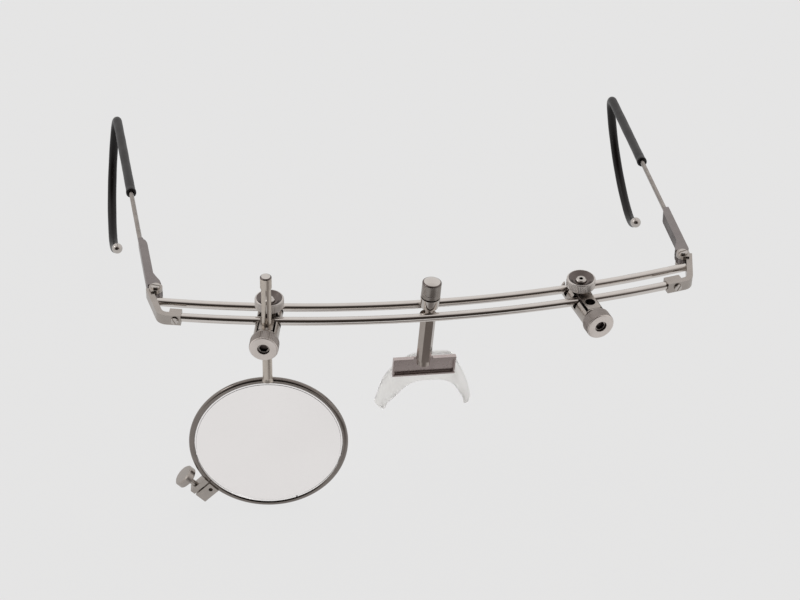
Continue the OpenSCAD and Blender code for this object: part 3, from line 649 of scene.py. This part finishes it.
def rail_rod(name, node, radius):
    """A round rod bent to an arc about the rail's centre, with its ends slightly eased.

    Its ends are where the CAD rod's box ends, less what the slant of its end faces adds.
    """
    low, high = (np.array(corner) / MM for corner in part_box(node))
    slant = ROD_R * END_SINE
    first = math.asin((low[0] + slant) / radius)
    last = math.asin((high[0] - slant) / radius)
    run = np.linspace(first, last, 260)[1:-1]
    ease = 0.3 * ROD_EASE / radius
    angle = np.concatenate([[first, first + ease], run, [last - ease, last]])
    radii = np.full(angle.shape, ROD_R)
    radii[[0, -1]] = ROD_R - ROD_EASE
    round_ = np.linspace(0, 2 * np.pi, 48, endpoint=False)
    reach = radius + radii[:, None] * np.cos(round_)
    points = np.stack(
        [
            reach * np.sin(angle)[:, None],
            MID_RADIUS - reach * np.cos(angle)[:, None],
            radii[:, None] * np.sin(round_),
        ],
        axis=-1,
    )
    return grid_mesh(name, points)


for name, node, radius in (
    ("front_rail_rod", "front_rod", FRONT_RADIUS),
    ("rear_rail_rod", "rear_rod", FRONT_RADIUS - ROD_GAP),
):
    finish_piece(name, rail_rod(name, node, radius), node, polished_rod)

# Clamp knobs

CARRIAGE_ANGLE = {"right": -7.85, "left": 7.7}
CARRIAGE_TURN = {"right": -4, "left": 5.6}
BODY_DROP = 1.2
BODY_FRONT = 10.4
BODY_BACK = 6
KNOB_R = 4.05
FRONT_KNOB_H = 3.6
TOP_KNOB_H = 2.9
KNOB_Z = 2.85
FRONT_GAP = 0.2
RIM_ROUND = 0.35
FOOT_CHAMFER = 0.3
DISH_R = KNOB_R - 0.45
DISH_FLOOR_R = 2.2
DISH_DEPTH = 0.95
STUD_HEAD_R = 1.55
STUD_WELL = 0.48
SCREW_R = 1.67
SCREW_WELL = 1.7
HEX_SOCKET_R = 1.31
CHANNEL_HALF = 2.45
JAW_HALF = 1.95
TEETH = 56
TOOTH = 0.1
KNURL_EDGE = 0.2
PAINT_FOOT = 1


def carriage_place(side):
    """The frame at a carriage's rail stud, with -Y pointing out of the rail's curve."""
    angle = CARRIAGE_ANGLE[side]
    a = math.radians(angle)
    at = shift(MID_RADIUS * math.sin(a), MID_RADIUS - MID_RADIUS * math.cos(a), 0)
    return at @ turn("Z", angle + CARRIAGE_TURN[side])


def knob_profile(height, dish, well_r, well_depth):
    """Half section of a knob, from the middle of its foot round to its well.

    The rim is rounded. The dish, if any, is a list of its corners from the rim inwards,
    each a radius and a depth below the rim. The well takes the screw's head.
    """
    floor = height - (dish[-1][1] if dish else 0)
    corners = [
        (AXIS_R, 0.0),
        (KNOB_R - FOOT_CHAMFER, 0.0),
        (KNOB_R, FOOT_CHAMFER),
        (KNOB_R, height - RIM_ROUND),
        (KNOB_R - RIM_ROUND, height),
        *[(r, height - depth) for r, depth in dish],
        (well_r, floor),
        (well_r, floor - well_depth),
        (AXIS_R, floor - well_depth),
    ]
    return rounded(corners, radius=0.14)


def front_place(side):
    """The frame at the foot of a front knob, with Z pointing out of the knob's face."""
    return carriage_place(side) @ shift(0, -BODY_FRONT - FRONT_GAP, -BODY_DROP) @ turn("X", 90)


def knurled_knob(side, name, node, place, height, profile, material):
    """One knob, with its teeth between the foot's chamfer and the rim's."""
    knurl = (TEETH, TOOTH, KNURL_EDGE, height - KNURL_EDGE - 0.02)
    mesh = revolved(f"{side}_{node}_mesh", profile, place, sides=TEETH * 8, knurl=knurl)
    return finish_piece(f"{side}_{name}", mesh, f"{side}_{node}", material)


for side in SIDES:
    place = carriage_place(side) @ shift(0, 0, KNOB_Z)
    dish = [(DISH_R, 0), (DISH_FLOOR_R, DISH_DEPTH)]
    profile = knob_profile(TOP_KNOB_H, dish, STUD_HEAD_R, STUD_WELL)
    piece = knurled_knob(
        side, "top_knob", "rail_knob", place, TOP_KNOB_H, profile, top_knob_painted_light
    )
    # Painted shade in each top knob's dish and in the well round its stud.
    for reach, high, material in (
        (DISH_R - 0.05, TOP_KNOB_H - 0.05, dish_painted_shade),
        (STUD_HEAD_R + 0.03, TOP_KNOB_H - DISH_DEPTH, recess_painted_shade),
    ):
        paint_inside(piece, place, reach, PAINT_FOOT, high, material)
    place = front_place(side)
    profile = knob_profile(FRONT_KNOB_H, [], SCREW_R, SCREW_WELL)
    piece = knurled_knob(
        side, "front_knob", "stem_knob", place, FRONT_KNOB_H, profile, knob_painted_shade
    )
    # Painted light on each front knob's face, and painted shade in its screw well.
    for reach, low, high, material in (
        (KNOB_R - 0.1, FRONT_KNOB_H - 0.3, FRONT_KNOB_H + 0.1, knob_face_painted_light),
        (SCREW_R + 0.05, PAINT_FOOT, FRONT_KNOB_H - 0.1, recess_painted_shade),
    ):
        paint_inside(piece, place, reach, low, high, material)

# Lens holder

STEM_FORWARD = 3.5
RING_TURN = -5.4
STEM_R = 1.35
STEM_TOP = 18
CAP_H = 3.8
CAP_R = STEM_R + 0.25
CAP_SOCKET = 2.8
CAP_CHAMFER = 0.24
LENS_DROP = 39.9
RING_LEAN = 4
RING_R = 21.675
LENS_R = 21
LENS_EDGE = 1.2
LENS_SEAT = 0.06
LENS_EASE = 0.08
DOME_R = 220
DOME_IN = 0.5
DOME_STEP = 0.1


def stem_place():
    """The frame on the lens stem's axis at the rods' height, turned with the ring."""
    right = carriage_place("right") @ shift(0, -ROD_GAP / 2 - STEM_FORWARD, 0)
    return right @ turn("Z", RING_TURN - CARRIAGE_ANGLE["right"] - CARRIAGE_TURN["right"])


def stem_cap():
    """A turned cap over the split stem: a chamfered top and a socket underneath."""
    neck = STEM_R - 0.3
    foot = STEM_TOP - CAP_H
    profile = [
        (AXIS_R, foot + CAP_SOCKET),
        (neck, foot + CAP_SOCKET),
        (neck, foot + 0.06),
        (neck + 0.06, foot),
        (CAP_R - 0.08, foot),
        (CAP_R, foot + 0.08),
        (CAP_R, STEM_TOP - CAP_CHAMFER - 0.1),
        (CAP_R - 0.06, STEM_TOP - CAP_CHAMFER),
        (CAP_R - CAP_CHAMFER, STEM_TOP - 0.06),
        (CAP_R - CAP_CHAMFER - 0.12, STEM_TOP),
        (AXIS_R, STEM_TOP),
    ]
    return revolved("stem_cap_mesh", profile, stem_place(), sides=72)


def round_lens():
    """A lens of revolution: flat behind, a plain rim, and a shallow dome in front.

    The dome is part of a sphere of 220 mm radius, which in glass is about 2.4 dioptres.
    It starts a little in from the rim, with its points closer together towards the rim.
    """
    seat = LENS_R + LENS_SEAT
    edge = LENS_R - DOME_IN
    back, front = -LENS_EDGE / 2, LENS_EDGE / 2
    sag = DOME_R - math.sqrt(DOME_R**2 - LENS_R**2)
    r = edge * (1 - np.linspace(0, 1, 40) ** 1.5)
    r[-1] = AXIS_R
    height = front + DOME_STEP + sag - DOME_R + np.sqrt(DOME_R**2 - r**2)
    dome = np.stack([r, height], axis=-1)
    flat = [
        (AXIS_R, back),
        (edge * 0.5, back),
        (edge, back),
        (seat - LENS_EASE, back),
        (seat, back + LENS_EASE),
        (seat, front - LENS_EASE),
        (seat - LENS_EASE, front),
        (edge + LENS_SEAT, front),
    ]
    top = stem_place() @ shift(0, 0, RING_R - LENS_DROP) @ turn("X", -RING_LEAN)
    plane = top @ shift(0, 0, -RING_R) @ turn("X", 90)
    return revolved("round_lens_mesh", np.vstack([flat, dome]), plane, sides=256)


cap = finish_piece(
    "turned_stem_cap", stem_cap(), "stem_cap", cap_nickel, smooth_angle=28
)
# Painted shade on the stem cap's rim and a painted highlight on its face.
for reach, low, material in (
    (CAP_R - 0.03, STEM_TOP - 0.3, dish_painted_shade),
    (STEM_R - 0.1, STEM_TOP - 0.02, dome_painted_highlight),
):
    paint_inside(cap, stem_place(), reach, low, STEM_TOP + 0.1, material)
finish_piece(
    "polished_round_lens", round_lens(), "lens", clear_glass, smooth_angle=30
)

# Nose piece

NOSE_TURN = 3.5
NOSE_LEAN = 3.4
LEAN_REACH = 3
LEAN_GAP = 0.06
CUP_Z = ROD_R + LEAN_REACH * math.sin(math.radians(NOSE_LEAN)) + LEAN_GAP
CUP_H = 3.3
NUT_R = 2.7
NUT_TOP = 9.7
NUT_DOME_R = 4.1
NUT_DOME_Z = NUT_TOP - 3.1
NUT_RIM_ANGLE = math.asin((NUT_R - 0.06) / NUT_DOME_R)
NUT_GROOVE = 0.07
PLATE_SHIFT = 0.8
POST_ACROSS = 3.8
PLATE_Y = POST_ACROSS / 2 + 0.02
PLATE_DROP = 21.1
nose_place = turn("Z", NOSE_TURN) @ turn("Y", NOSE_LEAN)


def cap_nut():
    """A turned cap nut: a cone seat, a fine groove at its shoulder, and a domed top.

    The dome is part of a sphere whose centre lies inside the nut.
    """
    shoulder = CUP_Z + CUP_H + 0.45
    groove = shoulder + 1.1 + NUT_GROOVE
    arc = np.linspace(NUT_RIM_ANGLE, 0.0, 14)
    dome = np.stack(
        [NUT_DOME_R * np.sin(arc), NUT_DOME_Z + NUT_DOME_R * np.cos(arc)], axis=-1
    )
    dome[-1, 0] = AXIS_R
    body = rounded(
        [
            (AXIS_R, CUP_Z + 0.7),
            (1.3, CUP_Z + 0.7),
            (2.3, CUP_Z + CUP_H),
            (NUT_R, shoulder),
            (NUT_R, groove - NUT_GROOVE),
            (NUT_R - 0.09, groove),
            (NUT_R, groove + NUT_GROOVE),
            (NUT_R, dome[0, 1] - 0.14),
            tuple(dome[0]),
        ],
        radius=0.12,
    )
    return revolved("cap_nut_mesh", np.vstack([body, dome[1:]]), nose_place, sides=96)


nut = finish_piece("domed_cap_nut", cap_nut(), "nose_nut", worn_nickel)
rim_z = NUT_DOME_Z + NUT_DOME_R * math.cos(NUT_RIM_ANGLE)
# Painted shade on the cap nut's rim and a painted highlight on its dome.
for reach, low, material in (
    (NUT_R + 0.1, rim_z - 0.1, dish_painted_shade),
    (NUT_R - 0.42, rim_z, dome_painted_highlight),
):
    paint_inside(nut, nose_place, reach, low, NUT_TOP + 1.1, material)

PAD_W = 29.2
PAD_FLARE = 3.2
PAD_HALF = PAD_W / 2 - PAD_FLARE
PAD_H = 22.6
PAD_RISE = 2.8
PAD_FOOT = PAD_RISE - PAD_H
PAD_SWEEP = 5
WEB_H = 10.3
LEG_T = 2.8
LEG_DEPTH = 2.9
LEG_SPLAY = 0.36
PAD_SHIFT = 2.9
PAD_WEB_T = 2.4
PAD_DRAWN_IN = 6
ARCH_LIMIT = 89.5
OUTER_POWER = 3.4
INNER_POWER = 3.0
LEG_POWER = 3
SWEEP_POWER = 1.3
ROUNDNESS = 0.8
TIP_PINCH = 0.3
TIP_POWER = 30
TIP_DROP = 0.9
PLATE_T = 0.55
PLATE_GAP = 0.05


def nose_saddle():
    """The soft saddle: a rounded section carried over an arch from one leg tip to the other.

    The section spans from an inner to an outer arch, both superellipses, with the wearer's
    left shoulder drawn in by a multiple of s^2 c^0.8 along the arch's angle. Towards the tips
    the legs flare outwards, sweep back and deepen into blades that splay open behind, and
    each tip closes in a rounded end.
    """
    limit = np.radians(ARCH_LIMIT)
    a = np.linspace(-limit, limit, 190)
    s, c = np.sin(a), np.maximum(np.cos(a), 0)

    def arch(half, rise, power):
        x = half * np.sign(s) * np.abs(s) ** (2 / power)
        z = PAD_FOOT + rise * c ** (2 / power)
        return np.stack([x, z], axis=-1)

    outer = arch(PAD_HALF, PAD_H, OUTER_POWER)
    outer[:, 0] -= PAD_DRAWN_IN * np.maximum(s, 0) ** 2 * c**0.8
    inner = arch(PAD_HALF - LEG_T, PAD_H - WEB_H, INNER_POWER)
    leg = np.abs(s) ** LEG_POWER
    end = 1 - TIP_PINCH * np.abs(s) ** TIP_POWER
    middle, half = (outer + inner) / 2, (outer - inner) / 2 * end[:, None]
    thick = (PAD_WEB_T / 2 + (LEG_DEPTH - PAD_WEB_T / 2) * leg) * end
    down = np.clip((PAD_RISE - middle[:, 1]) / PAD_H, 0, 1)
    x = PAD_SHIFT + middle[:, 0] + np.sign(s) * leg * PAD_FLARE * down
    y = PLATE_T + PLATE_GAP + PAD_WEB_T / 2 + PAD_SWEEP * down**SWEEP_POWER
    q = np.linspace(0, 2 * np.pi, 56, endpoint=False)
    across = np.sign(np.cos(q)) * np.abs(np.cos(q)) ** ROUNDNESS
    along = np.sign(np.sin(q)) * np.abs(np.sin(q)) ** ROUNDNESS
    deep = thick[:, None] * along
    points = np.stack(
        [
            x[:, None] + half[:, :1] * across + (np.sign(s) * leg)[:, None] * LEG_SPLAY * deep,
            y[:, None] + deep,
            middle[:, 1:] + half[:, 1:] * across,
        ],
        axis=-1,
    )
    # Rounded tips: the end rings shrink towards their middles as they move down.
    turn_in = np.linspace(0.2, 1.5, 8)[:, None, None]
    tips = []
    for ring in (points[0], points[-1]):
        heart = ring.mean(axis=0)
        drop = np.array([0, 0, -TIP_DROP]) * np.sin(turn_in)
        tips.append(heart + (ring - heart) * np.cos(turn_in) + drop)
    points = np.concatenate([tips[0][::-1], points, tips[1]])
    plate = nose_place @ shift(PLATE_SHIFT, PLATE_Y, -PLATE_DROP)
    return grid_mesh("nose_saddle_mesh", placed(plate, points))


finish_piece(
    "moulded_nose_saddle",
    nose_saddle(),
    "nose_pad",
    clear_silicone,
    smooth_angle=75,
)

# CAD parts that keep their shape, with eased edges

PLATED, BRIGHT = "plated_steel", "bright_steel"
SIDE_COPIES = (
    ("end_piece", satin_nickel, PLATED, 0.25),
    ("temple_bar", temple_bar_nickel, PLATED, 0.25),
    ("carriage_body", satin_nickel, PLATED, 0.15),
    ("jaw", satin_nickel, PLATED, 0.15),
    ("rod_screw", bright_nickel, BRIGHT, 0.06),
    ("hinge_screw", bright_nickel, BRIGHT, 0.06),
    ("rail_stud", bright_nickel, BRIGHT, 0.06),
    ("stem_screw", knob_painted_shade, BRIGHT, 0.06),
)
for side in SIDES:
    copies = {
        part: eased_copy(f"{side}_{part}", material, width)
        for part, material, slot, width in SIDE_COPIES
    }
    inwards = 1 if side == "right" else -1
    # Painted shade on the temple bar's inner face, in the channels of the carriage and the jaw, and in the stem
    # screw's hex socket.
    paint_facing(copies["temple_bar"], (inwards, 0, 0), 30, recess_painted_shade)
    for part, reach, low, high in (
        ("carriage_body", CHANNEL_HALF + 0.03, -6, 1.5),
        ("jaw", JAW_HALF + 0.02, -2, 1.7),
    ):
        ends = (-reach, -BODY_FRONT, low), (reach, BODY_BACK, high)
        paint_box(copies[part], carriage_place(side), *ends, recess_painted_shade)
    paint_inside(
        copies["stem_screw"],
        front_place(side),
        HEX_SOCKET_R,
        PAINT_FOOT + 0.5,
        FRONT_KNOB_H - 0.6,
        recess_painted_shade,
    )
for node, material, slot, width in (
    ("lens_stem", cap_nickel, PLATED, 0.06),
    ("lens_ring", ring_nickel, PLATED, 0.06),
    ("ring_block_upper", satin_nickel, PLATED, 0.22),
    ("ring_block_lower", satin_nickel, PLATED, 0.22),
    ("thumb_screw", satin_nickel, PLATED, 0.1),
    ("nose_cup", bright_nickel, BRIGHT, 0.1),
    ("nose_post", hexagon_bar, PLATED, 0.12),
    ("nose_plate", brushed_sheet, PLATED, 0.12),
):
    eased_copy(node, material, width)

# Studio

FLOOR_WIDTH = 8000
BACKDROP = "#f0f0f0"
CAMERA_SHARE = 0.86
GLOSSY_SHARE = 0.8
CARD_MIDDLE = 12
CARD_HALF = 50
CARD_NEAR = -42
CARD_FAR = -150
CARD_SOFT = 14
WORLD_STRENGTH = 1.0
TENT_OPENING = (-0.14, -0.92, 0.37)
floor_z = cad_box[0][2]


def seen_share(tree, most, in_gloss=0.0):
    """How much of the plain backdrop a ray sees.

    The camera and glass see the most, metal that times in_gloss, and other rays nothing.
    """
    rays = add(tree, "ShaderNodeLightPath").outputs
    share = rays["Is Glossy Ray"]
    for operation, other in (
        ("MULTIPLY", in_gloss),
        ("MAXIMUM", rays["Is Camera Ray"]),
        ("MAXIMUM", rays["Is Transmission Ray"]),
        ("MULTIPLY", most),
    ):
        inputs = {0: share, 1: other}
        share = add(tree, "ShaderNodeMath", inputs, operation=operation).outputs[0]
    return share


def dark_card(tree, share):
    """The backdrop's share in reflections, cut to nothing over a small card on the paper.

    The card lies in front of the nose piece and gives its upright metal a dark core. It
    shows in reflections only. Outside it, the largest of three ramps is 1: one runs over
    the distance from its middle line, and one over Y at each of its other two edges.
    """
    place = add(tree, "ShaderNodeTexCoord").outputs["Object"]
    axes = add(tree, "ShaderNodeSeparateXYZ", {"Vector": place}).outputs
    offset = add(
        tree, "ShaderNodeMath", {0: axes["X"], 1: CARD_MIDDLE * MM}, operation="SUBTRACT"
    ).outputs[0]
    across = add(tree, "ShaderNodeMath", {0: offset}, operation="ABSOLUTE").outputs[0]
    clear = 0.0
    for value, edge, way in (
        (across, CARD_HALF, 1),
        (axes["Y"], CARD_NEAR, 1),
        (axes["Y"], CARD_FAR, -1),
    ):
        soft = way * CARD_SOFT * MM
        inputs = {"Value": value, "From Min": edge * MM - soft, "From Max": edge * MM + soft}
        outside = add(tree, "ShaderNodeMapRange", inputs).outputs["Result"]
        clear = add(
            tree, "ShaderNodeMath", {0: clear, 1: outside}, operation="MAXIMUM"
        ).outputs[0]
    return add(tree, "ShaderNodeMath", {0: clear, 1: share}, operation="MULTIPLY").outputs[0]


def studio_floor():
    """A pale floor that the camera sees as the plain backdrop, with a faint soft shadow.

    The camera, glass and metal see mostly a fixed pale colour through Light Path, apart
    from the card in reflections, and the rest is the lit paper, which holds the shadow.
    """
    bpy.ops.mesh.primitive_plane_add(size=FLOOR_WIDTH * MM, location=(0, 0, 0))
    floor = bpy.context.object
    floor.name = "studio_floor"
    floor.data.transform(Matrix.Translation((0, 0, floor_z)))
    material, tree, paper = new_material("pale_seamless_paper")
    fibres = cloudy_pattern(tree, 9)
    mottled(tree, paper, fibres, "#8f8b89", "#8b8785", 1.0, 1.0)
    glow = add(tree, "ShaderNodeEmission", {"Color": colour(BACKDROP), "Strength": 1.0})
    share = seen_share(tree, CAMERA_SHARE, dark_card(tree, GLOSSY_SHARE))
    blend = add(tree, "ShaderNodeMixShader", {0: share, 1: paper.outputs[0], 2: glow.outputs[0]})
    out = tree.nodes["Material Output"]
    tree.links.new(blend.outputs[0], out.inputs["Surface"])
    floor.data.materials.append(material)


def studio_world():
    """A pale tent round the object, open to the dark room on the photographer's side.

    The opening draws the dark line along the rods. It is centred on one direction, and
    the ramp runs over the cosine of the angle from there.
    """
    world = bpy.data.worlds.new("tent_and_room")
    bpy.context.scene.world = world
    world.use_nodes = True
    tree = world.node_tree
    back = tree.nodes["Background"]
    way = add(tree, "ShaderNodeTexCoord").outputs["Generated"]
    away = add(
        tree, "ShaderNodeVectorMath", {0: way, 1: TENT_OPENING}, operation="DOT_PRODUCT"
    ).outputs["Value"]
    ramp = add(tree, "ShaderNodeValToRGB", {"Fac": away})
    stops = ramp.color_ramp.elements
    stops[0].position, stops[0].color = 0.0, colour("#e9e7e6")
    stops[1].position, stops[1].color = 0.95, colour("#35302d")
    for position, code in ((0.55, "#d5d1cf"), (0.74, "#6b6562"), (0.84, "#3a3431")):
        stops.new(position).color = colour(code)
    shade = add(
        tree,
        "ShaderNodeMix",
        {"Factor": seen_share(tree, 1.0), 6: ramp.outputs["Color"], 7: colour(BACKDROP)},
        data_type="RGBA",
    ).outputs[2]
    tree.links.new(shade, back.inputs["Color"])
    back.inputs["Strength"].default_value = WORLD_STRENGTH


def softbox(name, place, target, size, power):
    """A rectangular soft light that faces its target, with its place and size in metres."""
    lamp = bpy.data.lights.new(name, "AREA")
    lamp.shape = "RECTANGLE"
    lamp.size, lamp.size_y = size
    lamp.energy = power
    box = bpy.data.objects.new(name, lamp)
    bpy.context.scene.collection.objects.link(box)
    box.location = place
    box.rotation_euler = (Vector(target) - Vector(place)).to_track_quat("-Z", "Y").to_euler()
    return box


studio_floor()
studio_world()
middle = (cad_box[0] + cad_box[1]) / 2
overhead = softbox("overhead_softbox", (0.1, 0.3, 1.1), middle, (1.6, 1.2), 4.5)
overhead.visible_glossy = False
softbox("window_side", (-1.1, 0.2, 0.9), middle, (0.35, 0.35), 1.0)
fill = softbox("front_fill", (0.6, -1.2, 0.9), middle, (0.6, 0.6), 3.0)
fill.visible_glossy = False

# Camera: fitted to the photograph's viewing angle

ELEVATION = 37.6
YAW = -8.7
ROLL = 1.6
DISTANCE = 603
AIM = (-8.7, -3.075, 6.7)
FOCAL_PIXELS = 2199
PHOTO_WIDTH = 800
SENSOR = 36


def studio_camera():
    """A camera on a line back from its aim, at the fitted elevation, yaw and roll."""
    data = bpy.data.cameras.new("photo_camera")
    data.sensor_width = SENSOR
    data.lens = FOCAL_PIXELS / PHOTO_WIDTH * SENSOR
    camera = bpy.data.objects.new("photo_camera", data)
    bpy.context.scene.collection.objects.link(camera)
    e, w = math.radians(ELEVATION), math.radians(YAW)
    back = Vector((math.sin(w) * math.cos(e), -math.cos(w) * math.cos(e), math.sin(e)))
    right = Vector((math.cos(w), math.sin(w), 0))
    up = back.cross(right)
    basis = Matrix((right, up, back)).transposed().to_4x4()
    roll = Matrix.Rotation(math.radians(ROLL), 4, "Z")
    at = (Vector(AIM) + back * DISTANCE) * MM
    camera.matrix_world = Matrix.Translation(at) @ basis @ roll
    data.clip_start, data.clip_end = 0.01, 20
    bpy.context.scene.camera = camera


studio_camera()
bpy.context.scene.view_settings.view_transform = "Standard"
